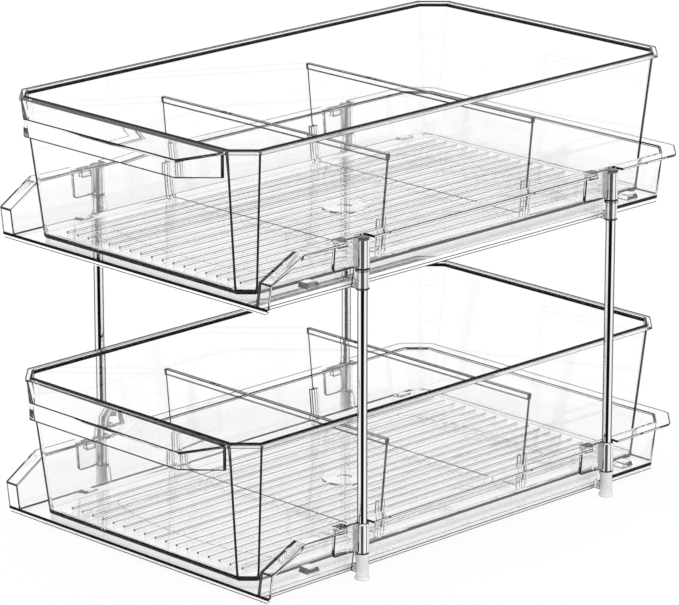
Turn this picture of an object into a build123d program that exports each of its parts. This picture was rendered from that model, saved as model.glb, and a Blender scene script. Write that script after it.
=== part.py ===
from build123d import *
from math import sqrt
import os

# Two-tier organizer: two trays on four posts, each tray carrying a pull-out bin with two dividers.
# Millimetres. +Z is up and -Y is the front, where the bins pull out.
# The origin is on the floor under the middle of the whole object.

# Bin: a clear drawer with leaning walls, chamfered corners and a rim
bin_length = 305.0            # over the rim, front to back
bin_width = 173.2             # over the rim, side to side
bin_height = 73.7             # underside to rim top
bin_wall = 1.6
bin_floor = 2.8
bin_side_lean = 7.9           # how far each wall leans out from underside to rim
bin_front_lean = 8.65
bin_back_lean = 10.5
rim_lip = 2.0                 # rim standing out past the wall
rim_thickness = 1.5
rim_cut = 12.3                # corner chamfer over the rim
foot_front_cut = 7.3          # corner chamfers at the underside
foot_back_cut = 4.2
foot_round = 3.0              # rounding round the underside
inner_round = 1.8             # rounding where the inside walls meet the floor

# Hooded pull across the bin's front
pull_reach = 14.2             # out from the rim
pull_drop = 4.5               # fall of its top from the rim to the nose
pull_apron = 9.3              # height of the nose plate
pull_rise = 1.6               # rise of its lower edge back to the bin
pull_wall = 1.8
pull_taper = 18.4             # each end narrows this much from the bin to the nose
pull_inset = 1.2              # each end stands in from the rim's front corner
pull_root = 8.0               # run into the front wall

# Ribbed bin floor with a round gate disc
floor_rib_pitch = 7.8
floor_rib_width = 1.5
floor_rib_height = 1.1
floor_rib_end_gap = 8.4       # floor left bare between the ribs and the walls
gate_disc_diameter = 23.6
gate_dimple_diameter = 7.4
gate_dimple_depth = 0.6

# Dividers and the guide ribs that hold them
divider_thickness = 1.6
divider_bar_thickness = 3.0
divider_bar_height = 3.3
divider_below_rim = 18.1      # rim top to divider top
divider_side_gap = 0.45
divider_corner_cut = 4.0
divider_rest_gap = 0.2        # over the floor ribs
front_divider_share = 0.166   # of the bin's length, forward and back from its middle
back_divider_share = 0.172
guide_rib_thickness = 1.6
guide_rib_depth = 2.4
guide_rib_height = 19.5
guide_play = 0.4              # each side of the divider plate

# Trays
tray_floor = 3.5
tray_wall = 1.6
tray_height = 27.3
tray_side_gap = 10.7          # bin foot to the foot of the tray's side wall
tray_back_gap = 0.6           # bin foot to the foot of the tray's back wall
tray_lead = 4.3               # tray front ahead of the bin foot
tray_side_flare = 4.4         # lean of the walls over the tray's height
tray_back_flare = 6.0
tray_foot_cut = 3.5           # back corner chamfers, at the underside and at the top
tray_top_cut = 10.4
tray_upright = 15.9           # height of the side walls at the front
tray_slope_run = 21.0         # length of their slope up to full height
flange_side = 6.8
flange_back = 6.2
flange_thickness = 1.3
flange_cut = 13.5             # chamfer of the flange's back corners
flange_round = 4.0
bin_rest_gap = 0.2            # bin underside over the tray floor

# Shallow barrel-shaped panel in the tray's underside
panel_side_gap = 28.0
panel_end_gap = 31.0
panel_bow = 10.5
panel_corner = 8.0
panel_depth = 0.6

# Bumps on the tray floor that keep the bin in line
bump_width = 6.5
bump_length = 8.5
bump_height = 2.6
bump_ramp = 1.2
bump_play = 0.7               # bin wall to bump
bump_front_inset = 41.0       # tray front to the front bumps' middles
bump_back_inset = 17.5        # tray back to the back bumps' middles

# Posts, and the tiers that they carry
post_diameter = 5.0
post_standoff = 2.8           # tray wall top to post axis
post_front_inset = 63.3       # tray front to the front posts
post_back_inset = 46.7        # tray back to the back posts
post_fit = 0.05               # radial play in every bore round a post
tier_pitch = 145.7
tray_lift = 2.7               # lower tray's underside over the floor
seat_gap = 0.05               # between pieces stacked along a post

# Brackets: a plate beside the tray's wall with a hook over it, a bent web and a post tube
bracket_tube_diameter = 7.0
tube_low_share = 0.403        # tube's lower end, of the tray's height
bracket_tube_drop = 0.4       # tube's upper end, down from the tray's top
bracket_cap = 1.6             # closed top of the upper tubes
bracket_tube_round = 0.8
plate_front = 18.4            # plate ends, forward from the post axis
plate_back = 8.9
plate_low_share = 0.447       # plate's lower edge, of the tray's height
plate_wall = 1.9
plate_standoff = 0.9          # plate out from the wall's top
plate_lean_share = 0.52       # of the wall's lean
plate_round = 2.0
plate_under_flange = 0.1      # gap below the flange
hook_front = 15.0             # hook's front end, forward from the post axis
hook_thickness = 1.5          # over the wall's top
hook_leg = 1.2                # inner leg's thickness
hook_drop = 4.0               # inner leg and outer block, down from the tray's top
hook_fit = 0.05               # hook to wall
web_middle = 5.8              # web's bend, forward from the post axis
web_standoff = 0.6            # bend out from the wall's top
web_wall = 1.5
notch_play = 0.2              # flange gap round the hook
tube_play = 0.1               # tray wall relieved round the tube
notch_back = 4.6              # flange gap back from the post axis

# Collars under the upper brackets, and feet under the lower ones
sleeve_diameter = 6.4
collar_rim_diameter = 7.2
collar_rim_height = 1.3
collar_toe_diameter = 6.9     # ring at the collar's lower end
collar_toe_height = 0.8
collar_low = 0.5              # over the upper tray's underside
foot_ring_diameter = 7.4
foot_ring_height = 1.7
foot_edge = 0.5
foot_floor = 4.65             # closed end under the post
post_rib_thickness = 1.6      # rib on the tray's wall, facing the post
post_rib_height = 10.6
post_rib_gap = 0.8            # rib to the sleeve's rim

overrun = 1.0                 # every cut runs this far past the face that it leaves

# Worked out from the sizes above
corner_share = 2 - sqrt(2)    # a chamfer's loss per unit of inset
post_bore = post_diameter / 2 + post_fit
bin_lift = tray_floor + bin_rest_gap
floor_rib_top = bin_floor + floor_rib_height
divider_y = {"front": -front_divider_share * bin_length, "back": back_divider_share * bin_length}
bracket_tube_low = tube_low_share * tray_height
bracket_tube_top = tray_height - bracket_tube_drop
capped_bore_top = bracket_tube_top - bracket_cap
plate_low = plate_low_share * tray_height

rim_outline = (bin_width / 2, -bin_length / 2, bin_length / 2, rim_cut, rim_cut)


def inset(outline, distance):
    """An outline (half width, front, back, front chamfer, back chamfer) moved inwards."""
    half, front, back, front_cut, back_cut = outline
    loss = distance * corner_share
    return half - distance, front + distance, back - distance, front_cut - loss, back_cut - loss


def between(low, high, share):
    return tuple(a + (b - a) * share for a, b in zip(low, high))


wall_top_outline = inset(rim_outline, rim_lip)
foot_outline = (
    wall_top_outline[0] - bin_side_lean,
    wall_top_outline[1] + bin_front_lean,
    wall_top_outline[2] - bin_back_lean,
    foot_front_cut,
    foot_back_cut,
)

tray_half = foot_outline[0] + tray_side_gap + tray_wall
tray_front = foot_outline[1] - tray_lead
tray_back = foot_outline[2] + tray_back_gap + tray_wall
tray_top_half = tray_half + tray_side_flare
tray_top_back = tray_back + tray_back_flare

post_x = tray_top_half + post_standoff
post_y = {"front": tray_front + post_front_inset, "back": tray_back - post_back_inset}

# The whole object's middle, front to back, is the origin
front_reach = -bin_length / 2 - pull_reach
back_reach = tray_top_back + flange_back
frame_shift = -(front_reach + back_reach) / 2

tray_level = {"lower": tray_lift, "upper": tray_lift + tier_pitch}


def bin_outline_at(height):
    """The bin's outer wall outline at a height over its underside."""
    return between(foot_outline, wall_top_outline, height / bin_height)


def bin_inside_half(height):
    return bin_outline_at(height)[0] - bin_wall


def tray_wall_half(height):
    """The outer face of the tray's side wall at a height over its underside."""
    return tray_half + tray_side_flare * height / tray_height


def chamfered_face(outline, height):
    """A level rectangle with four chamfered corners."""
    half, front, back, front_cut, back_cut = outline
    points = [
        (front_cut - half, front),
        (half - front_cut, front),
        (half, front + front_cut),
        (half, back - back_cut),
        (half - back_cut, back),
        (back_cut - half, back),
        (-half, back - back_cut),
        (-half, front + front_cut),
    ]
    return Pos(0, 0, height) * Polygon(*points, align=None)


def tray_face(half, front, back, back_cut, height):
    """A level rectangle with its two back corners chamfered."""
    points = [
        (-half, front),
        (half, front),
        (half, back - back_cut),
        (half - back_cut, back),
        (back_cut - half, back),
        (-half, back - back_cut),
    ]
    return Pos(0, 0, height) * Polygon(*points, align=None)


def across(points, half_width):
    """A prism over the width, from (y, z) points."""
    return extrude(Plane.YZ * Polygon(*points, align=None), half_width, both=True)


def along(points, start, end):
    """A prism from front to back, from (x, z) points."""
    prism = extrude(Plane.XZ * Polygon(*points, align=None), (end - start) / 2, both=True)
    return Pos(0, (start + end) / 2, 0) * prism


def lowest_edges(solid):
    return solid.edges().group_by(Axis.Z)[0]


def cylinder(diameter, low, high):
    return Pos(0, 0, low) * extrude(Circle(diameter / 2), high - low)


# Bin

def bin_block():
    """The space inside the bin's outer walls, as a solid."""
    faces = [chamfered_face(foot_outline, 0), chamfered_face(wall_top_outline, bin_height)]
    return loft(faces, ruled=True)


def bin_shell():
    """Walls, floor and rim, with the inside taken out."""
    block = bin_block()
    outside = fillet(lowest_edges(block), foot_round)
    rim = extrude(chamfered_face(rim_outline, bin_height - rim_thickness), rim_thickness)
    mouth = bin_height + overrun
    inside = loft(
        [
            chamfered_face(inset(bin_outline_at(bin_floor), bin_wall), bin_floor),
            chamfered_face(inset(bin_outline_at(mouth), bin_wall), mouth),
        ],
        ruled=True,
    )
    inside = fillet(lowest_edges(inside), inner_round)
    return outside + rim - inside


def pull_block(skin, low_extra):
    """The pull's outer block, or with a skin the hollow under it."""
    nose = -bin_length / 2 - pull_reach + skin
    rim = -bin_length / 2
    root = rim + pull_root
    root_half = bin_width / 2 - rim_cut - pull_inset - skin
    nose_half = root_half - pull_taper
    top = bin_height - skin
    nose_low = bin_height - pull_drop - pull_apron - low_extra
    side_view = [
        (nose, nose_low),
        (nose, top - pull_drop),
        (rim, top),
        (root, top),
        (root, nose_low + pull_rise),
    ]
    plan = [
        (-nose_half, nose),
        (nose_half, nose),
        (root_half, rim),
        (root_half, root),
        (-root_half, root),
        (-root_half, rim),
    ]
    return across(side_view, bin_width / 2) & extrude(Polygon(*plan, align=None), bin_height)


def front_pull():
    """A hood with a sloping top, a nose plate and angled ends, open underneath."""
    return pull_block(0, 0) - pull_block(pull_wall, overrun) - bin_block()


def floor_ribs():
    """Parallel ribs from front to back, rounded at their ends."""
    half, front, back, _, _ = inset(bin_outline_at(bin_floor), bin_wall)
    start = front + floor_rib_end_gap
    end = back - floor_rib_end_gap
    side_count = int((half - floor_rib_end_gap) / floor_rib_pitch)
    plan = Rot(0, 0, 90) * SlotOverall(end - start, floor_rib_width)
    rib = extrude(plan, floor_rib_height + bin_floor / 2)
    low = bin_floor / 2
    places = [step * floor_rib_pitch for step in range(-side_count, side_count + 1)]
    return [Pos(x, (start + end) / 2, low) * rib for x in places]


def gate_disc():
    return cylinder(gate_disc_diameter, bin_floor / 2, floor_rib_top)


def guide_ribs():
    """Pairs of short upright ribs on both side walls, a divider's thickness apart."""
    low = bin_floor / 2
    high = bin_floor + guide_rib_height
    sink = bin_wall / 2
    section = [
        (bin_inside_half(low) + sink, low),
        (bin_inside_half(low) - guide_rib_depth, low),
        (bin_inside_half(high) - guide_rib_depth, high),
        (bin_inside_half(high) + sink, high),
    ]
    slot = divider_thickness / 2 + guide_play
    ribs = []
    for middle in divider_y.values():
        for start in (middle - slot - guide_rib_thickness, middle + slot):
            rib = along(section, start, start + guide_rib_thickness)
            ribs += [rib, mirror(rib, about=Plane.YZ)]
    return ribs


def make_bin():
    dimple = cylinder(gate_dimple_diameter, floor_rib_top - gate_dimple_depth, floor_rib_top + overrun)
    return bin_shell() + front_pull() + floor_ribs() + gate_disc() + guide_ribs() - dimple


def make_divider():
    """A thin plate with a thicker bar along its top, following the lean of the walls."""
    low = floor_rib_top + divider_rest_gap
    high = bin_height - divider_below_rim
    bar_low = high - divider_bar_height
    low_half = bin_inside_half(low) - divider_side_gap
    corner_half = bin_inside_half(low + divider_corner_cut) - divider_side_gap
    high_half = bin_inside_half(high) - divider_side_gap
    bar_half = bin_inside_half(bar_low) - divider_side_gap
    plate = [
        (divider_corner_cut - low_half, low),
        (low_half - divider_corner_cut, low),
        (corner_half, low + divider_corner_cut),
        (high_half, high),
        (-high_half, high),
        (-corner_half, low + divider_corner_cut),
    ]
    bar = [(-bar_half, bar_low), (bar_half, bar_low), (high_half, high), (-high_half, high)]
    plate_solid = along(plate, -divider_thickness / 2, divider_thickness / 2)
    return plate_solid + along(bar, -divider_bar_thickness / 2, divider_bar_thickness / 2)


# Tray

def tray_side_view(back):
    """The side walls' outline as (y, z): upright front, slope, then level to the back."""
    return [
        (tray_front, 0),
        (tray_front, tray_upright),
        (tray_front + tray_slope_run, tray_height),
        (back, tray_height),
        (back, 0),
    ]


def tray_inside():
    """The space between the walls, open to the front and the top."""
    front = tray_front - overrun
    faces = []
    for height in (tray_floor, tray_height + overrun):
        share = height / tray_height
        half = tray_wall_half(height) - tray_wall
        back = tray_back + tray_back_flare * share - tray_wall
        cut = tray_foot_cut + (tray_top_cut - tray_foot_cut) * share - tray_wall * corner_share
        faces.append(tray_face(half, front, back, cut, height))
    return loft(faces, ruled=True)


def tray_flange(side_prism, inside):
    """A thin strip standing out from the walls' edge, all the way round from floor to floor."""
    front = tray_front - overrun
    block = loft(
        [
            tray_face(tray_half + flange_side, front, tray_back + flange_back, flange_cut, 0),
            tray_face(tray_top_half + flange_side, front, back_reach, flange_cut, tray_height),
        ],
        ruled=True,
    )
    leaning = block.edges().filter_by(lambda edge: edge.end_point().Z != edge.start_point().Z)
    block = fillet(leaning.group_by(Axis.Y)[-1] + leaning.group_by(Axis.Y)[-2], flange_round)
    block = fillet(lowest_edges(block).filter_by(Axis.Y), flange_side / 2)
    under = Pos(0, flange_thickness, -flange_thickness) * side_prism
    return (side_prism - under) & block - inside


def tray_bumps():
    """Four low bumps with sloping ends, beside the bin's foot."""
    low = tray_floor - overrun
    high = tray_floor + bump_height
    inner = bin_outline_at(bump_height)[0] + bump_play
    middles = (tray_front + bump_front_inset, tray_back - bump_back_inset)
    bumps = []
    for middle in middles:
        start = middle - bump_length / 2
        end = middle + bump_length / 2
        side_view = [(start, low), (start, tray_floor), (start + bump_ramp, high), (end - bump_ramp, high),
                     (end, tray_floor), (end, low)]
        bump = Pos(inner + bump_width / 2, 0, 0) * across(side_view, bump_width / 2)
        bumps += [bump, mirror(bump, about=Plane.YZ)]
    return bumps


def tray_panel():
    """The shallow barrel-shaped recess in the underside."""
    half = tray_half - panel_side_gap
    middle = (tray_front + tray_back) / 2
    end = (tray_back - tray_front) / 2 - panel_end_gap
    shoulder = end - panel_bow
    outline = [
        ThreePointArc((-half, -shoulder), (0, -end), (half, -shoulder)),
        Line((half, -shoulder), (half, shoulder)),
        ThreePointArc((half, shoulder), (0, end), (-half, shoulder)),
        Line((-half, shoulder), (-half, -shoulder)),
    ]
    face = make_face(Curve() + outline)
    face = fillet(face.vertices(), panel_corner)
    return Pos(0, middle, -overrun) * extrude(face, panel_depth + overrun)


def post_ribs():
    """A short upright rib on the wall at each post."""
    sink = tray_wall / 2
    outer = post_x - collar_rim_diameter / 2 - post_rib_gap
    section = [
        (tray_wall_half(0) - sink, 0),
        (outer, 0),
        (outer, post_rib_height),
        (tray_wall_half(post_rib_height) - sink, post_rib_height),
    ]
    ribs = []
    for y in post_y.values():
        rib = along(section, y - post_rib_thickness / 2, y + post_rib_thickness / 2)
        ribs += [rib, mirror(rib, about=Plane.YZ)]
    return ribs


def flange_notches():
    """Gaps in the flange round each bracket, seats for the hooks, and room for the tubes."""
    wide = flange_side + overrun
    deep = flange_thickness + hook_fit
    seat = hook_thickness + hook_fit
    cuts = []
    for y in post_y.values():
        gap_points = [
            (tray_top_half, tray_height - deep),
            (tray_top_half + wide, tray_height - deep),
            (tray_top_half + wide, tray_height + overrun),
            (tray_top_half, tray_height + overrun),
        ]
        seat_points = [
            (tray_top_half - tray_wall - overrun, tray_height - seat),
            (tray_top_half, tray_height - seat),
            (tray_top_half, tray_height + overrun),
            (tray_top_half - tray_wall - overrun, tray_height + overrun),
        ]
        gap = along(gap_points, y - hook_front - notch_play, y + notch_back)
        rest = along(seat_points, y - hook_front - notch_play, y - plate_back + notch_play)
        relief = cylinder(bracket_tube_diameter + 2 * tube_play, bracket_tube_low, tray_height + overrun)
        for cut in (gap, rest, Pos(post_x, y, 0) * relief):
            cuts += [cut, mirror(cut, about=Plane.YZ)]
    return cuts


def make_tray():
    far = back_reach + overrun
    wide = tray_top_half + flange_side + overrun
    side_prism = across(tray_side_view(far), wide)
    inside = tray_inside()
    body = loft(
        [
            tray_face(tray_half, tray_front, tray_back, tray_foot_cut, 0),
            tray_face(tray_top_half, tray_front, tray_top_back, tray_top_cut, tray_height),
        ],
        ruled=True,
    )
    tray = (body & side_prism) - inside
    tray = tray + tray_flange(side_prism, inside) + tray_bumps() + post_ribs()
    return tray - flange_notches() - tray_panel()


# Post fittings, made for a right-hand post

def plate_half(height):
    """The inner face of a bracket's plate at a height over the tray's underside."""
    lean = plate_lean_share * tray_side_flare * (tray_height - height) / tray_height
    return tray_top_half + plate_standoff - lean


def bracket_plate():
    """A flat plate beside the side wall, under the flange, with its front foot rounded."""
    high = tray_height - flange_thickness - plate_under_flange
    section = [
        (plate_half(plate_low), plate_low),
        (plate_half(plate_low) + plate_wall, plate_low),
        (plate_half(high) + plate_wall, high),
        (plate_half(high), high),
    ]
    plate = along(section, -plate_front, -plate_back)
    front_foot = plate.edges().filter_by(Axis.X).group_by(Axis.Y)[0].group_by(Axis.Z)[0]
    return fillet(front_foot, plate_round)


def bracket_hook():
    """The top of the plate, reaching over the wall to a short leg inside it."""
    seat = tray_height - hook_thickness
    low = tray_height - hook_drop
    section = [
        (plate_half(low) + plate_wall, low),
        (plate_half(tray_height) + plate_wall, tray_height),
        (tray_wall_half(tray_height) - tray_wall - hook_fit - hook_leg, tray_height),
        (tray_wall_half(low) - tray_wall - hook_fit - hook_leg, low),
        (tray_wall_half(low) - tray_wall - hook_fit, low),
        (tray_wall_half(seat) - tray_wall - hook_fit, seat),
        (tray_wall_half(seat) + hook_fit, seat),
        (tray_wall_half(low) + hook_fit, low),
    ]
    return along(section, -hook_front, -plate_back)


def bracket_web():
    """The bend from the plate's end in towards the wall and out to the post tube."""
    bend = tray_top_half + web_standoff
    stations = [
        (plate_back, plate_half(plate_low), plate_half(tray_height), plate_wall),
        (web_middle, bend, bend, web_wall),
        (post_bore, post_x - plate_wall / 2, post_x - plate_wall / 2, plate_wall),
    ]
    faces = []
    for forward, low_x, high_x, wall in stations:
        points = [
            (low_x, plate_low),
            (low_x + wall, plate_low),
            (high_x + wall, tray_height),
            (high_x, tray_height),
        ]
        faces.append(Pos(0, -forward, 0) * (Plane.XZ * Polygon(*points, align=None)))
    return loft(faces, ruled=True)


def make_bracket(bore_top):
    tube = cylinder(bracket_tube_diameter, bracket_tube_low, bracket_tube_top)
    tube = Pos(post_x, 0, 0) * fillet(tube.edges().group_by(Axis.Z)[-1], bracket_tube_round)
    bore = Pos(post_x, 0, 0) * cylinder(post_bore * 2, bracket_tube_low - overrun, bore_top)
    return bracket_plate() + bracket_hook() + bracket_web() + tube - bore


def make_collar():
    """A sleeve with a rim at each end, round the post under an upper bracket."""
    high = bracket_tube_low - seat_gap
    collar = cylinder(sleeve_diameter, collar_low, high)
    collar += cylinder(collar_rim_diameter, high - collar_rim_height, high)
    collar += cylinder(collar_toe_diameter, collar_low, collar_low + collar_toe_height)
    collar -= cylinder(post_bore * 2, collar_low - overrun, high + overrun)
    return Pos(post_x, 0, 0) * collar


def make_foot():
    """A sleeve with a ring at the floor and a blind socket for the post."""
    high = tray_lift + bracket_tube_low - seat_gap
    ring = cylinder(foot_ring_diameter, 0, foot_ring_height)
    ring = chamfer(ring.edges().filter_by(GeomType.CIRCLE), foot_edge)
    foot = ring + cylinder(sleeve_diameter, 0, high)
    foot += cylinder(collar_rim_diameter, high - collar_rim_height, high)
    foot -= cylinder(post_bore * 2, foot_floor, high + overrun)
    return Pos(post_x, 0, 0) * foot


def make_post():
    """A rod from the foot's socket to the closed top of the upper bracket's tube."""
    low = foot_floor + seat_gap
    high = tray_level["upper"] + capped_bore_top - seat_gap
    return Pos(post_x, 0, 0) * cylinder(post_diameter, low, high)


def save(piece, name, y=0, z=0):
    export_step(Pos(0, frame_shift + y, z) * piece, f"parts/{name}.step")


def save_pair(piece, name, row, y, z):
    """A fitting and its mirror image, as the right and left ones."""
    save(piece, name.format(f"{row}_right"), y, z)
    save(mirror(piece, about=Plane.YZ), name.format(f"{row}_left"), y, z)


os.makedirs("parts", exist_ok=True)

tray = make_tray()
drawer = make_bin()
divider = make_divider()
for tier, level in tray_level.items():
    save(tray, f"{tier}_tray", z=level)
    save(drawer, f"{tier}_bin", z=level + bin_lift)
    for row, y in divider_y.items():
        save(divider, f"{tier}_{row}_divider", y, level + bin_lift)

open_bracket = make_bracket(bracket_tube_top + overrun)
capped_bracket = make_bracket(capped_bore_top)
for row, y in post_y.items():
    save_pair(open_bracket, "lower_{}_bracket", row, y, tray_level["lower"])
    save_pair(capped_bracket, "upper_{}_bracket", row, y, tray_level["upper"])
    save_pair(make_collar(), "{}_collar", row, y, tray_level["upper"])
    save_pair(make_foot(), "{}_foot", row, y, 0)
    save_pair(make_post(), "{}_post", row, y, 0)
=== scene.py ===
import math
import bmesh
import bpy
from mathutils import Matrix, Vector


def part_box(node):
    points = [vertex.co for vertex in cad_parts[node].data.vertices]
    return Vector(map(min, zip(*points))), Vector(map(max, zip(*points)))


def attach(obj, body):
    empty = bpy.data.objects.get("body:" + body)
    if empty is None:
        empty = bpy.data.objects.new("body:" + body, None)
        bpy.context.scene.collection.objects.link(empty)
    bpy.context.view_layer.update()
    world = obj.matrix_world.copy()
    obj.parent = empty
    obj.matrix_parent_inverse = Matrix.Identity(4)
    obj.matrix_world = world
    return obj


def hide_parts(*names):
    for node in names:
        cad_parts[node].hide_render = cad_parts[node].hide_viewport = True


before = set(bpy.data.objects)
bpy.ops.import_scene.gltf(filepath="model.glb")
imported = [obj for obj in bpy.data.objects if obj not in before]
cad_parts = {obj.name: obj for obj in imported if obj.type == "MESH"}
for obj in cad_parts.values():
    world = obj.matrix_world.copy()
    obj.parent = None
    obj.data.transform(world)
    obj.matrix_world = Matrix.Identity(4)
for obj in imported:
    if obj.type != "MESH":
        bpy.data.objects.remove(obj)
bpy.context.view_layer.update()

print("frame loaded:", len(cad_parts), "nodes")

mm = 0.001
hair, slack, loose = 0.05 * mm, 0.1 * mm, 0.3 * mm  # play when faces and edges are picked by place
scene = bpy.context.scene
scene.view_settings.view_transform = "Standard"
scene.cycles.max_bounces = 28  # many clear walls stand one behind the other
scene.cycles.transmission_bounces = 28
scene.cycles.glossy_bounces = 8
scene.cycles.transparent_max_bounces = 24


# material helpers: every material of the pieces is built from noises on Object coordinates
noiseSpan = (0.25, 0.75)  # where a noise mostly lies
toneSpan = (0.3, 0.7)
clearIor = 1.49


def newMaterial(name):
    mat = bpy.data.materials.new(name)
    mat.use_nodes = True
    tree = mat.node_tree
    return mat, tree.nodes, tree.links, tree.nodes["Principled BSDF"]


def noiseAt(nodes, links, scale, detail, stretch=(1, 1, 1)):
    coords = nodes.new("ShaderNodeTexCoord")
    place = nodes.new("ShaderNodeMapping")
    place.inputs["Scale"].default_value = stretch
    links.new(coords.outputs["Object"], place.inputs["Vector"])
    noise = nodes.new("ShaderNodeTexNoise")
    noise.inputs["Scale"].default_value = scale
    noise.inputs["Detail"].default_value = detail
    links.new(place.outputs["Vector"], noise.inputs["Vector"])
    return noise.outputs["Fac"]


def spread(nodes, links, value, low, high):
    remap = nodes.new("ShaderNodeMapRange")
    remap.inputs["From Min"].default_value, remap.inputs["From Max"].default_value = noiseSpan
    remap.inputs["To Min"].default_value = low
    remap.inputs["To Max"].default_value = high
    links.new(value, remap.inputs["Value"])
    return remap.outputs["Result"]


def ramp(nodes, links, value, stops):  # stops of place and grey tone
    node = nodes.new("ShaderNodeValToRGB")
    points = node.color_ramp.elements
    while len(points) < len(stops):
        points.new(0.5)
    for point, (place, tone) in zip(points, stops):
        point.position = place
        point.color = grey(tone)
    links.new(value, node.inputs["Fac"])
    return node.outputs["Color"]


def tones(nodes, links, value, pair):
    return ramp(nodes, links, value, list(zip(toneSpan, pair)))


def ripple(nodes, links, shader, value, strength, distance):
    bump = nodes.new("ShaderNodeBump")
    bump.inputs["Strength"].default_value = strength
    bump.inputs["Distance"].default_value = distance
    links.new(value, bump.inputs["Height"])
    links.new(bump.outputs["Normal"], shader.inputs["Normal"])


def grey(tone):
    return (tone, tone, tone, 1)


def paintedShadeAndReflection(nodes, links, bands, color):  # painted shade and painted reflection: a colour that darkens or brightens where the surface turns from the view
    facing = nodes.new("ShaderNodeLayerWeight")
    facing.inputs["Blend"].default_value = 0.5
    both = nodes.new("ShaderNodeMix")
    both.data_type = "RGBA"
    both.blend_type = "MULTIPLY"
    both.inputs["Factor"].default_value = 1.0
    links.new(ramp(nodes, links, facing.outputs["Facing"], bands), both.inputs["A"])
    links.new(color, both.inputs["B"])
    return both.outputs["Result"]


# moulded clear plastic: a faint flow in its colour, a fine haze, and slow ripples
mouldLook = {"flow": (14, 2, (1, 0.35, 1)), "grain": (420, 3), "deep": 1 * mm}
clearLook = {
    "bin": {"tone": (0.994, 1.0), "haze": (0.0, 0.006), "ripple": 0.004},
    "tray": {"tone": (0.992, 1.0), "haze": (0.0, 0.008), "ripple": 0.004},
    "divider": {"tone": (0.994, 1.0), "haze": (0.0, 0.006), "ripple": 0.003},
    "fitting": {"tone": (0.95, 1.0), "haze": (0.0, 0.03), "ripple": 0.02,
                "bands": [(0.0, 1.0), (0.46, 1.0), (0.62, 0.72), (1.0, 0.35)]},
}


def clearPlastic(name, look):
    mat, nodes, links, shader = newMaterial(name)
    shader.inputs["Transmission Weight"].default_value = 1.0
    shader.inputs["IOR"].default_value = clearIor
    flow = noiseAt(nodes, links, *mouldLook["flow"])
    color = tones(nodes, links, flow, look["tone"])
    # painted shade on the fittings: darker where they turn from the view
    if "bands" in look:
        color = paintedShadeAndReflection(nodes, links, look["bands"], color)
    links.new(color, shader.inputs["Base Color"])
    haze = noiseAt(nodes, links, *mouldLook["grain"])
    links.new(spread(nodes, links, haze, *look["haze"]), shader.inputs["Roughness"])
    ripple(nodes, links, shader, flow, look["ripple"], mouldLook["deep"])
    return mat


# painted shade: edges of clear plastic gather no light and look dark, so dark colours are painted on them;
# the pale tone is painted light
edgeMatLook = {"grain": (260, 3), "roughness": (0.12, 0.3), "gloss": 0.04, "clear": 0.98}
paintedEdgeLook = {
    "black": {"tone": (0.003, 0.009)},
    "dark": {"tone": (0.015, 0.04)},
    "middle": {"tone": (0.1, 0.17)},
    "outer": {"tone": (0.01, 0.03), "side": "outside"},  # painted shade: dark from outside, clear from within
    "inner": {"tone": (0.01, 0.03), "side": "inside"},  # painted shade: dark through the plastic, clear from outside
    "pale": {"tone": (0.88, 0.96), "side": "outside"},  # painted light: bright from outside, clear from within
    "shade": {"tone": (0.3, 0.42), "side": "outside"},  # the same in grey
}


def edgePlastic(name, look):
    mat, nodes, links, shader = newMaterial(name)
    shader.inputs["IOR"].default_value = clearIor
    shader.inputs["Specular IOR Level"].default_value = edgeMatLook["gloss"]
    edgeGrain = noiseAt(nodes, links, *edgeMatLook["grain"])
    color = tones(nodes, links, edgeGrain, look["tone"])
    links.new(spread(nodes, links, edgeGrain, *edgeMatLook["roughness"]), shader.inputs["Roughness"])
    if "side" in look:
        side = nodes.new("ShaderNodeNewGeometry").outputs["Backfacing"]
        if look["side"] == "inside":
            flip = nodes.new("ShaderNodeMath")
            flip.operation = "SUBTRACT"
            flip.inputs[0].default_value = 1.0
            links.new(side, flip.inputs[1])
            side = flip.outputs[0]
        both = nodes.new("ShaderNodeMix")
        both.data_type = "RGBA"
        links.new(side, both.inputs["Factor"])
        links.new(color, both.inputs["A"])
        both.inputs["B"].default_value = grey(edgeMatLook["clear"])
        color = both.outputs["Result"]
        links.new(side, shader.inputs["Transmission Weight"])
    links.new(color, shader.inputs["Base Color"])
    return mat


clearMats = {name: clearPlastic(name + "Clear", look) for name, look in clearLook.items()}
edgeMats = {name: edgePlastic(name + "Edge", look) for name, look in paintedEdgeLook.items()}
edgeOrder = list(edgeMats)

# bright drawn rod: fine lines along it, and the dark and bright bands of a polished round as painted
# reflection
steelLook = {
    "bands": [(0.0, 0.88), (0.022, 0.88), (0.031, 0.005), (0.083, 0.005), (0.11, 0.97), (0.33, 0.95),
              (0.45, 0.25), (0.8, 0.1), (1.0, 0.3)],
    "tone": (0.93, 1.0), "tint": 0.35, "roughness": (0.05, 0.14),
    "drawn": (900, 4, (1, 1, 0.02)), "ripple": (0.05, 0.1 * mm),
}


def polishedSteel(name, look):
    mat, nodes, links, shader = newMaterial(name)
    shader.inputs["Metallic"].default_value = 1.0
    shader.inputs["Specular Tint"].default_value = grey(look["tint"])
    drawn = noiseAt(nodes, links, *look["drawn"])
    tone = tones(nodes, links, drawn, look["tone"])
    # painted reflection: dark and bright bands in the base colour, by the surface's turn from the view
    links.new(paintedShadeAndReflection(nodes, links, look["bands"], tone), shader.inputs["Base Color"])
    links.new(spread(nodes, links, drawn, *look["roughness"]), shader.inputs["Roughness"])
    ripple(nodes, links, shader, drawn, *look["ripple"])
    return mat


# frosted plastic of the feet, with painted shade darker round its sides
frostLook = {
    "bands": [(0.0, 1.0), (0.62, 1.0), (0.78, 0.55), (1.0, 0.15)],
    "tone": (0.96, 1.0), "through": 0.3, "ior": 1.46, "roughness": (0.35, 0.55),
    "grain": (700, 4), "ripple": (0.15, 0.2 * mm),
}


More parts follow.
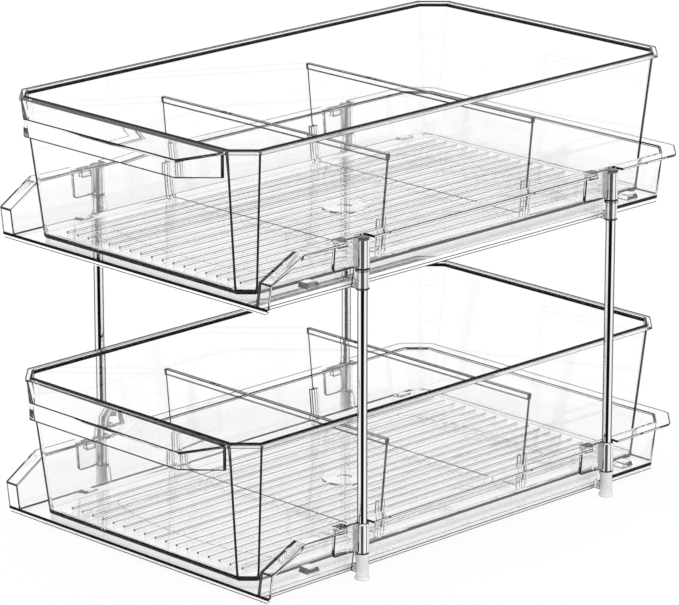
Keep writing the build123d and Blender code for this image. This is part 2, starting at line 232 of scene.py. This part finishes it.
def frostedPlastic(name, look):
    mat, nodes, links, shader = newMaterial(name)
    shader.inputs["Transmission Weight"].default_value = look["through"]
    shader.inputs["IOR"].default_value = look["ior"]
    frost = noiseAt(nodes, links, *look["grain"])
    tone = tones(nodes, links, frost, look["tone"])
    # painted shade: darker where the sides turn from the view
    links.new(paintedShadeAndReflection(nodes, links, look["bands"], tone), shader.inputs["Base Color"])
    links.new(spread(nodes, links, frost, *look["roughness"]), shader.inputs["Roughness"])
    ripple(nodes, links, shader, frost, *look["ripple"])
    return mat


steelMat = polishedSteel("polishedSteel", steelLook)
frostMat = frostedPlastic("frostedPlastic", frostLook)
nodeMaterial = {
    "post": steelMat, "foot": frostMat, "tray": clearMats["tray"], "bin": clearMats["bin"],
    "divider": clearMats["divider"], "bracket": clearMats["fitting"], "collar": clearMats["fitting"],
}
for name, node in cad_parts.items():
    node.data.materials.clear()
    node.data.materials.append(nodeMaterial[name.split("_")[-1]])
print("materials made:", len(bpy.data.materials))


# clear pieces: a merged copy of the CAD piece, with its edges rounded and painted with painted shade and
# light
weld = 0.002 * mm
flatAngle, smoothAngle, sharpAngle = (math.radians(a) for a in (0.4, 20, 38))


def startPiece(nodeName, matKey):
    bpy.ops.object.select_all(action="DESELECT")
    words = nodeName.split("_")
    name = words[0] + "".join(w.title() for w in words[1:])
    piece = bpy.data.objects.new(name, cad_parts[nodeName].data.copy())
    scene.collection.objects.link(piece)
    piece.data.materials.clear()
    piece.data.materials.append(clearMats[matKey])
    for edge in edgeOrder:
        piece.data.materials.append(edgeMats[edge])
    piece.select_set(True)
    bpy.context.view_layer.objects.active = piece
    bpy.ops.object.mode_set(mode="EDIT")
    bpy.ops.mesh.select_mode(type="EDGE")
    bpy.ops.mesh.select_all(action="SELECT")
    bpy.ops.mesh.remove_doubles(threshold=weld)
    bpy.ops.mesh.dissolve_limited(angle_limit=flatAngle)
    bpy.ops.mesh.select_all(action="DESELECT")
    return piece


def paintIndex(matKey):  # the plain plastic comes first, then the painted edge shades and lights
    return 1 + edgeOrder.index(matKey) if matKey else 0


# rounds the picked edges and paints the roundings with painted shade; the pale tone is painted light
def roundEdges(piece, width, matKey, test, hollow=False, profile=0.5):
    mesh = bmesh.from_edit_mesh(piece.data)
    mesh.normal_update()
    found = False
    for edge in mesh.edges:
        edge.select = False
    for edge in mesh.edges:
        if len(edge.link_faces) != 2 or edge.calc_face_angle(0) < sharpAngle:
            continue
        if edge.is_convex == hollow:
            continue
        if any(face.material_index for face in edge.link_faces):
            continue  # beside a face that has its painted tone already
        a, b = edge.verts[0].co, edge.verts[1].co
        if test(a, b, (a + b) / 2):
            edge.select = found = True
    bmesh.update_edit_mesh(piece.data)
    if found:
        bpy.ops.mesh.bevel(offset=width, offset_type="OFFSET", segments=2, profile=profile, affect="EDGES",
                           clamp_overlap=False, loop_slide=True, material=paintIndex(matKey))
    bpy.ops.mesh.select_all(action="DESELECT")


def corners(face):  # the low and high corner of a face's box
    points = [v.co for v in face.verts]
    return [Vector(pick(p[i] for p in points) for i in range(3)) for pick in (min, max)]


# paints painted shade and light onto the faces that pass the test; None gives back the plain plastic
def paintFaces(piece, matKey, test):
    mesh = bmesh.from_edit_mesh(piece.data)
    for face in mesh.faces:
        if test(*corners(face), face.normal):
            face.material_index = paintIndex(matKey)
    bmesh.update_edit_mesh(piece.data)


def raiseEdge(piece, rise, matKey, test):
    mesh = bmesh.from_edit_mesh(piece.data)
    bpy.ops.mesh.select_mode(type="VERT")
    index = paintIndex(matKey)
    for vert in mesh.verts:
        vert.select_set(test(vert.co) and any(face.material_index == index for face in vert.link_faces))
    bmesh.update_edit_mesh(piece.data)
    bpy.ops.transform.translate(value=(0, 0, rise))
    bpy.ops.mesh.select_mode(type="EDGE")
    bpy.ops.mesh.select_all(action="DESELECT")


def cutFaces(piece, place, test, along=(0, 0, 1)):
    mesh = bmesh.from_edit_mesh(piece.data)
    bpy.ops.mesh.select_mode(type="FACE")
    for face in mesh.faces:
        face.select_set(test(*corners(face), face.normal))
    bmesh.update_edit_mesh(piece.data)
    bpy.ops.mesh.bisect(plane_co=Vector(along) * place, plane_no=along)
    bpy.ops.mesh.select_mode(type="EDGE")
    bpy.ops.mesh.select_all(action="DESELECT")


def endPiece(piece, nodeName, body):
    bpy.ops.object.mode_set(mode="OBJECT")
    bpy.ops.object.shade_smooth_by_angle(angle=smoothAngle)
    even = piece.modifiers.new("evenFaces", "WEIGHTED_NORMAL")
    even.keep_sharp = True
    bpy.ops.object.modifier_apply(modifier=even.name)
    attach(piece, body)
    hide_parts(nodeName)


def near(value, wanted, play=0.06 * mm):
    return abs(value - wanted) < play


def everyEdge(a, b, m):
    return True


binLook = {
    # places of the solid, by which edges and faces are found
    "length": 305 * mm, "half": 86.6 * mm, "cut": 12.3 * mm, "lip": 1.5 * mm, "rimWidth": 3.6 * mm,
    "rimInner": 3 * mm, "rimOuter": 1 * mm, "lipEdge": 0.5 * mm, "wallLong": 20 * mm, "wallEnd": 11 * mm,
    "upright": 0.3, "footRound": 3 * mm, "footTurn": (-0.97, -0.03), "ribTop": 3.9 * mm, "noseLow": 66 * mm,
    "discHalf": 13 * mm, "discHigh": 8 * mm, "guide": (4.5 * mm, 30 * mm),
    # width and rise of the rim's two beads, depths of the painted dark line inside the rim, widths of the
    # roundings, painted dark as painted shade
    "rimIn": (1.5 * mm, 0.68 * mm), "rimOut": (0.5 * mm, 0.22 * mm), "line": (0.8 * mm, 2.1 * mm),
    "rimLow": 0.45 * mm, "corner": 0.6 * mm, "backCorner": 2.2 * mm, "nose": 0.4 * mm, "pull": 0.28 * mm,
    "rib": 0.22 * mm, "thin": 0.2 * mm,
}


def makeBin(tier):
    look = binLook
    low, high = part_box(tier + "_bin")
    base, top, back = low.z, high.z, high.y
    front = back - look["length"]
    middle = (front + back) / 2
    piece = startPiece(tier + "_bin", "bin")

    def inset(p):  # how far a point stands in from the rim's outline
        side, end = look["half"] - abs(p.x), look["length"] / 2 - abs(p.y - middle)
        return min(side, end, (side + end - look["cut"]) / math.sqrt(2))

    def rising(a, b, m):
        return abs(a.z - b.z) > look["wallLong"]

    def backCorner(a, b, m):  # where a side wall ends at the back
        return rising(a, b, m) and m.y > middle and abs(m.x) > look["half"] - look["wallEnd"]

    def onDisc(m):
        return abs(m.x) < look["discHalf"] and abs(m.y - middle) < look["discHalf"]

    def pullEdge(a, b, m):
        return m.y < front + loose and m.z < top - slack

    def noseEdge(a, b, m):
        return pullEdge(a, b, m) and m.z > base + look["noseLow"]

    def floorEdge(a, b, m):
        return near(m.z, base + look["ribTop"]) and not onDisc(m)

    def discEdge(a, b, m):
        return m.z < base + look["discHigh"] and onDisc(m)

    def guideEdge(a, b, m):
        return look["guide"][0] < m.z - base < look["guide"][1]

    def rimInside(a, b, m):
        return near(a.z, top) and near(b.z, top) and inset(m) > look["rimInner"]

    def rimOutside(a, b, m):
        return near(a.z, top) and near(b.z, top) and inset(m) < look["rimOuter"]

    def rimUnder(a, b, m):
        return near(m.z, top - look["lip"]) and -slack < inset(m) < look["lipEdge"]

    def beadAt(place):
        return lambda p: near(p.z, top) and near(inset(p), place)

    def foot(lo, hi, n):
        return hi.z < base + look["footRound"] + slack and look["footTurn"][0] < n.z < look["footTurn"][1]

    def wallInside(lo, hi, n):
        m = (lo + hi) / 2
        inward = n.x * m.x + n.y * (m.y - middle) < 0
        high = hi.z > top - look["rimInner"] and inset(m) > look["rimInner"]
        return inward and high and abs(n.z) < look["upright"]

    def wallAbove(depth):
        return lambda lo, hi, n: wallInside(lo, hi, n) and lo.z > top - depth - hair

    def lipOutside(lo, hi, n):
        return abs(n.z) < look["upright"] and hi.z > top and near(inset((lo + hi) / 2), 0)

    # painted shade: the foot's rounding, the rim, corners, pull, ribs and a strip inside the rim are
    # painted dark, where clear plastic looks dark
    paintFaces(piece, "outer", foot)
    roundEdges(piece, look["rimIn"][0], "black", rimInside, profile=1)
    roundEdges(piece, look["rimOut"][0], "dark", rimOutside, profile=1)
    raiseEdge(piece, look["rimIn"][1], "black", beadAt(look["rimWidth"]))
    raiseEdge(piece, look["rimOut"][1], "dark", beadAt(0))
    roundEdges(piece, look["rimLow"], "dark", rimUnder)
    roundEdges(piece, look["backCorner"], "outer", backCorner)
    roundEdges(piece, look["corner"], "outer", rising)
    roundEdges(piece, look["nose"], "black", noseEdge)
    roundEdges(piece, look["pull"], "dark", pullEdge)
    roundEdges(piece, look["rib"], "black", floorEdge)
    roundEdges(piece, look["thin"], "middle", discEdge)
    roundEdges(piece, look["thin"], "middle", guideEdge)
    for depth in look["line"]:
        cutFaces(piece, top - depth, wallInside)
    paintFaces(piece, "outer", wallAbove(look["line"][1]))
    paintFaces(piece, None, wallAbove(look["line"][0]))
    paintFaces(piece, None, lipOutside)
    endPiece(piece, tier + "_bin", tier + "_bin")


dividerLook = {"barHeight": 3.3 * mm, "endTurn": 0.9, "bar": 0.4 * mm, "foot": 0.2 * mm}


def makeDivider(name):
    look = dividerLook
    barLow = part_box(name)[1].z - look["barHeight"]
    piece = startPiece(name, "divider")
    paintFaces(piece, "dark", lambda lo, hi, n: abs(n.x) > look["endTurn"])  # the cut ends, painted dark as painted shade
    # painted shade on the roundings of the bar and foot
    roundEdges(piece, look["bar"], "black", lambda a, b, m: m.z > barLow - slack)
    roundEdges(piece, look["foot"], "middle", everyEdge)
    endPiece(piece, name, name)


trayLook = {
    # places of the solid, by which edges and faces are found
    "floor": 3.5 * mm, "flange": 1.3 * mm, "flangeIn": 4 * mm, "slopeRun": 22 * mm, "frontLong": 20 * mm,
    "cornerLong": 12 * mm, "footLong": 5 * mm, "footHigh": 0.4 * mm, "slabLow": 1 * mm,
    "panelHigh": 1 * mm, "panelHalf": (75 * mm, 130 * mm), "sideAway": 80 * mm,
    "frontTurn": -0.95, "sideTurn": 0.5, "upright": 0.35,
    "notch": {"x": 88 * mm, "y": (-97 * mm, 80 * mm), "length": 27.5 * mm},
    # heights of the painted dark lines on the front and on the slab's edge, widths of the roundings,
    # painted dark as painted shade
    "line": (0.45 * mm, 0.9 * mm), "band": 1.9 * mm,
    "slab": {"top": 3.9 * mm, "lineTop": 2.1 * mm, "lineLow": 1.6 * mm, "foot": 0.55 * mm},
    "front": 0.28 * mm, "flangeEdge": 0.36 * mm, "wallTop": 0.45 * mm, "under": 0.4 * mm, "foot": 0.25 * mm,
    "corner": 0.4 * mm, "small": 0.2 * mm, "panel": 0.35 * mm,
}


def makeTray(tier):
    look = trayLook
    notch, slab = look["notch"], look["slab"]
    low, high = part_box(tier + "_tray")
    base, top, front = low.z, high.z, low.y
    behind = notch["y"][1] + notch["length"]
    piece = startPiece(tier + "_tray", "tray")

    def atPost(m):  # the notches under the brackets stay as the solid has them
        return abs(m.x) > notch["x"] and any(y < m.y < y + notch["length"] for y in notch["y"])

    def awayFromPost(a, b, m):
        return not atPost(m)

    def baseEdge(a, b, m):
        return near(m.z, base)

    def frontFoot(a, b, m):
        return near(m.y, front) and near(m.z, base) and abs(a.x - b.x) > look["frontLong"]

    def panel(a, b, m):
        wide, deep = look["panelHalf"]
        return m.z < base + look["panelHigh"] and abs(m.x) < wide and abs(m.y) < deep

    def wallTop(a, b, m):
        inside = abs(m.x) < high.x - look["flangeIn"] and m.y < high.y - look["flangeIn"]
        return near(m.z, top) and inside and not atPost(m)

    def frontSides(a, b, m):
        return m.y < front + look["slopeRun"] and m.z > base + loose

    def flangeEdge(a, b, m):
        return m.z > top - look["flange"] - 2 * slack and not atPost(m)

    def upCorner(a, b, m):
        return abs(a.z - b.z) > look["cornerLong"]

    def underFlange(a, b, m):
        return near(m.z, top - look["flange"], loose) and not atPost(m)

    def wallFoot(a, b, m):
        return near(m.z, base + look["floor"]) and (a - b).length > look["footLong"]

    def frontFace(lo, hi, n):
        place = lo.z < base + look["floor"] - slack and hi.y < front + 2 * slack
        return place and n.y < look["frontTurn"]

    def frontLine(lo, hi, n):
        level = near(lo.z, base + look["line"][0]) and near(hi.z, base + look["line"][1])
        return level and frontFace(lo, hi, n)

    def frontBand(lo, hi, n):
        return frontFace(lo, hi, n) and near(lo.z, base + look["band"])

    def outward(lo, hi, n):
        away = n.x * (lo.x + hi.x) > look["sideAway"] or n.y > look["sideTurn"]
        return away and abs(n.z) < look["upright"]

    def wallFace(lo, hi, n):
        return outward(lo, hi, n) and hi.z > base + look["slabLow"]

    def slabEdge(lo, hi, n):
        return wallFace(lo, hi, n) and lo.z < base + look["footHigh"]

    def slabFace(lo, hi, n):
        return wallFace(lo, hi, n) and hi.z < base + slab["top"] + hair

    def slabFoot(lo, hi, n):
        return outward(lo, hi, n) and lo.z > base + 2 * slack and hi.z < base + slab["foot"] + hair

    def behindPost(lo, hi, n):  # the end of a side wall, between the back post and the corner
        return abs(n.x) > look["sideTurn"] and lo.y > behind - slack

    def slabLine(lo, hi, n):
        level = near(lo.z, base + slab["lineLow"]) and near(hi.z, base + slab["lineTop"])
        return level and slabFace(lo, hi, n) and not behindPost(lo, hi, n)

    def slabBand(lo, hi, n):
        return slabFace(lo, hi, n) and behindPost(lo, hi, n) and lo.z > base + slab["lineTop"] - slack

    # painted light and shade: the front face and the slab's edge are painted pale, with dark lines, bands
    # and roundings painted dark
    for height in (*look["line"], look["band"], look["floor"]):
        cutFaces(piece, base + height, frontFace)
    roundEdges(piece, look["small"], "middle", frontFoot)
    paintFaces(piece, "pale", frontFace)
    paintFaces(piece, "dark", frontLine)
    paintFaces(piece, "black", frontBand)
    roundEdges(piece, look["panel"], "middle", panel)
    roundEdges(piece, look["wallTop"], "black", wallTop)
    roundEdges(piece, look["front"], "dark", frontSides)
    roundEdges(piece, look["flangeEdge"], "dark", flangeEdge)
    roundEdges(piece, look["foot"], "dark", baseEdge)
    roundEdges(piece, look["corner"], "outer", upCorner)
    roundEdges(piece, look["small"], "middle", awayFromPost)
    roundEdges(piece, look["under"], "inner", underFlange, hollow=True)
    roundEdges(piece, look["under"], "middle", wallFoot, hollow=True)
    for height in slab.values():
        cutFaces(piece, base + height, slabEdge)
    cutFaces(piece, behind, slabFace, (0, 1, 0))
    paintFaces(piece, "pale", slabFace)
    for test in (slabLine, slabBand, slabFoot):
        paintFaces(piece, "outer", test)
    endPiece(piece, tier + "_tray", "frame")


fittingLook = {
    # places on the solid: the reach of tube, hook and plate, and the turn and size of the web's faces
    "tube": 7.2 * mm, "hook": 4.5 * mm, "plate": 9 * mm, "bend": (-0.3, -0.08), "run": -0.43,
    "runWide": 2 * mm, "webTall": 9 * mm, "upright": 0.2, "under": -0.35,
    # widths of the roundings, painted dark as painted shade
    "outline": 0.5 * mm, "bracket": 0.32 * mm, "collar": 0.26 * mm,
}


def makeFitting(name):
    look = fittingLook
    kind = name.split("_")[-1]
    low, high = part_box(name)
    piece = startPiece(name, "fitting")

    def outline(a, b, m):  # round the plate and under the web
        return m.z < high.z - look["hook"] and m.y < high.y - look["tube"]

    def web(lo, hi, n):  # its outer side, where it bends off the plate and where it runs to the tube
        between = low.y + look["plate"] < lo.y and hi.y < high.y - look["plate"]
        bend = between and look["bend"][0] < n.y < look["bend"][1]
        run = n.y < look["run"] and hi.y - lo.y > look["runWide"]
        tall = hi.z - lo.z > look["webTall"] and abs(n.z) < look["upright"]
        return tall and n.x * lo.x > 0 and (bend or run)

    if kind == "bracket":
        roundEdges(piece, look["outline"], "dark", outline)
    roundEdges(piece, look[kind], "dark", everyEdge)
    paintFaces(piece, "dark", lambda lo, hi, n: n.z < look["under"])  # its lower faces, painted dark as painted shade under the fitting
    if kind == "bracket":
        # painted shade in grey on the web's outer side
        paintFaces(piece, "shade", web)
    endPiece(piece, name, "frame")


for tier in ("lower", "upper"):
    makeBin(tier)
    makeTray(tier)
    for row in ("front", "back"):
        makeDivider(tier + "_" + row + "_divider")
print("bins, trays and dividers made")

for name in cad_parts:
    if name.endswith("_bracket") or name.endswith("_collar"):
        makeFitting(name)
print("brackets and collars made")


def seenRays(nodes, links, share):  # rays from the camera, off metal and through plastic
    path = nodes.new("ShaderNodeLightPath")
    first = nodes.new("ShaderNodeMath")
    first.operation = "MAXIMUM"
    second = nodes.new("ShaderNodeMath")
    second.operation = "MAXIMUM"
    part = nodes.new("ShaderNodeMath")
    part.operation = "MULTIPLY"
    part.inputs[1].default_value = share
    links.new(path.outputs["Is Camera Ray"], first.inputs[0])
    links.new(path.outputs["Is Glossy Ray"], first.inputs[1])
    links.new(first.outputs[0], second.inputs[0])
    links.new(path.outputs["Is Transmission Ray"], second.inputs[1])
    links.new(second.outputs[0], part.inputs[0])
    return part.outputs[0]


stageLook = {"size": 12.0, "tone": 0.9, "glow": 0.95}


def makeFloor():
    bpy.ops.object.select_all(action="DESELECT")
    bpy.ops.mesh.primitive_plane_add(size=stageLook["size"], location=(0, 0, 0))
    floor = bpy.context.object
    floor.name = "studioFloor"
    mat = bpy.data.materials.new("studioFloor")
    mat.use_nodes = True
    nodes, links = mat.node_tree.nodes, mat.node_tree.links
    nodes.clear()
    out = nodes.new("ShaderNodeOutputMaterial")
    matte = nodes.new("ShaderNodeBsdfDiffuse")
    matte.inputs["Color"].default_value = grey(stageLook["tone"])
    glow = nodes.new("ShaderNodeEmission")
    mix = nodes.new("ShaderNodeMixShader")
    links.new(seenRays(nodes, links, stageLook["glow"]), mix.inputs["Fac"])
    links.new(matte.outputs[0], mix.inputs[1])
    links.new(glow.outputs[0], mix.inputs[2])
    links.new(mix.outputs[0], out.inputs["Surface"])
    floor.data.materials.append(mat)


skyLook = {"seen": [(0.06, 1.0), (0.22, 0.97)], "light": 1.15}  # white to the eye, a little dimmer above


def makeWorld():
    world = bpy.data.worlds.new("studioWorld")
    scene.world = world
    world.use_nodes = True
    nodes, links = world.node_tree.nodes, world.node_tree.links
    nodes.clear()
    out = nodes.new("ShaderNodeOutputWorld")
    back = nodes.new("ShaderNodeBackground")
    coords = nodes.new("ShaderNodeTexCoord")
    split = nodes.new("ShaderNodeSeparateXYZ")
    links.new(coords.outputs["Generated"], split.inputs[0])
    mix = nodes.new("ShaderNodeMix")
    mix.data_type = "RGBA"
    links.new(seenRays(nodes, links, 1.0), mix.inputs["Factor"])
    mix.inputs["A"].default_value = grey(skyLook["light"])
    links.new(ramp(nodes, links, split.outputs["Z"], skyLook["seen"]), mix.inputs["B"])
    links.new(mix.outputs["Result"], back.inputs["Color"])
    links.new(back.outputs[0], out.inputs["Surface"])


lampLook = {"name": "overhead", "size": 1.6, "power": 14, "place": (0, 0, 1.9)}


def makeLamp():
    data = bpy.data.lights.new(lampLook["name"], "AREA")
    data.size = lampLook["size"]
    data.energy = lampLook["power"]
    lamp = bpy.data.objects.new(lampLook["name"], data)
    scene.collection.objects.link(lamp)
    lamp.location = lampLook["place"]
    lamp.visible_glossy = False
    lamp.visible_transmission = False


makeFloor()
makeWorld()
makeLamp()
print("stage made")


cameraLook = {
    "place": (1.56704, -1.54122, 0.76405), "turn": (73.32, 0, 45.43),
    "lens": 237.72, "sensor": 36, "far": 50,
}


def makeCamera():
    data = bpy.data.cameras.new("photoCamera")
    data.sensor_width = cameraLook["sensor"]
    data.sensor_fit = "HORIZONTAL"
    data.lens = cameraLook["lens"]
    data.clip_end = cameraLook["far"]
    camera = bpy.data.objects.new("photoCamera", data)
    scene.collection.objects.link(camera)
    camera.location = cameraLook["place"]
    camera.rotation_euler = [math.radians(a) for a in cameraLook["turn"]]
    scene.camera = camera


makeCamera()
print("camera set")
